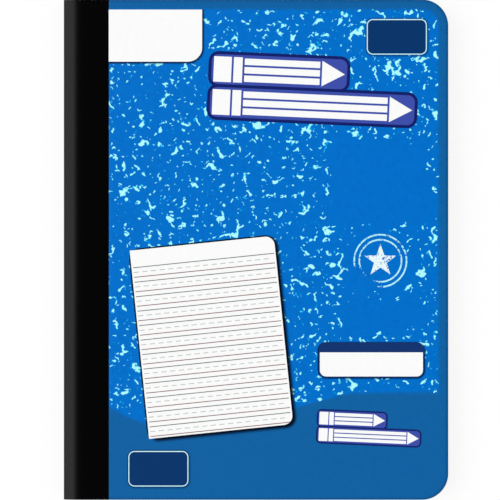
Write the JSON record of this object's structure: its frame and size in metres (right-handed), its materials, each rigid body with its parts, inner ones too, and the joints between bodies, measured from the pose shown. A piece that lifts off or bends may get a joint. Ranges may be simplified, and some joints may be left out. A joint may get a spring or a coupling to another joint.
{
  "type": "composition notebook",
  "caption": "Sewn school notebook with marbled blue board covers, printed panels, a black cloth strip round the spine and ruled pages; both covers open.",
  "frame": {"origin": "middle of the back cover's outside face, on the surface that the book lies on", "axes": "+X from the spine to the fore edge, +Y from the tail to the head, +Z out of the front cover"},
  "size_m": [0.19, 0.247, 0.0109],
  "materials": {
    "leaf_paper": "uncoated white writing paper, trimmed edges",
    "sewing_thread": "twisted cotton thread",
    "black_book_cloth": "coated black book cloth, fine weave, low sheen",
    "blue_cover": "printed paper on pasteboard, varnished",
    "dark_blue_print": "printed paper, varnished",
    "pale_marbling": "printed paper, varnished",
    "white_print": "printed paper, varnished",
    "navy_print": "printed paper, varnished",
    "deep_navy_print": "printed paper, varnished",
    "violet_print": "printed paper, varnished",
    "grey_ruling": "printed line, varnished",
    "red_ruling": "printed line, varnished",
    "shadow_print": "printed shadow, varnished"
  },
  "bodies": {
    "pages": {"page_block": "leaf_paper", "needle_thread": "sewing_thread", "bobbin_thread": "sewing_thread", "spine_cloth": "black_book_cloth"},
    "front_board": {"front_cover": "blue_cover", "front_cloth_flap": "black_book_cloth", "border_band": "dark_blue_print", "marble_flecks": "pale_marbling", "head_tab": "white_print", "badge_fields": "navy_print", "badge_lines": "white_print", "plate_rims": "deep_navy_print", "plate_fields": "violet_print", "plate_pencils": "white_print", "name_box": "white_print", "name_header": "navy_print", "stamp_rings": "pale_marbling", "stamp_star": "pale_marbling", "ruled_sheet": "white_print", "sheet_shade": "shadow_print", "sheet_rulings": "grey_ruling", "sheet_baselines": "red_ruling"},
    "back_board": {"back_cover": "blue_cover", "back_cloth_flap": "black_book_cloth"}
  },
  "joints": [
    {"name": "front_cover_hinge", "type": "hinge", "parent": "pages", "child": "front_board", "pos_m": [-0.0912, 0, 0.01055], "axis": [0, -1, 0], "range_deg": [0, 180]},
    {"name": "back_cover_hinge", "type": "hinge", "parent": "pages", "child": "back_board", "pos_m": [-0.0912, 0, 0.00025], "axis": [0, 1, 0], "range_deg": [0, 180]}
  ]
}
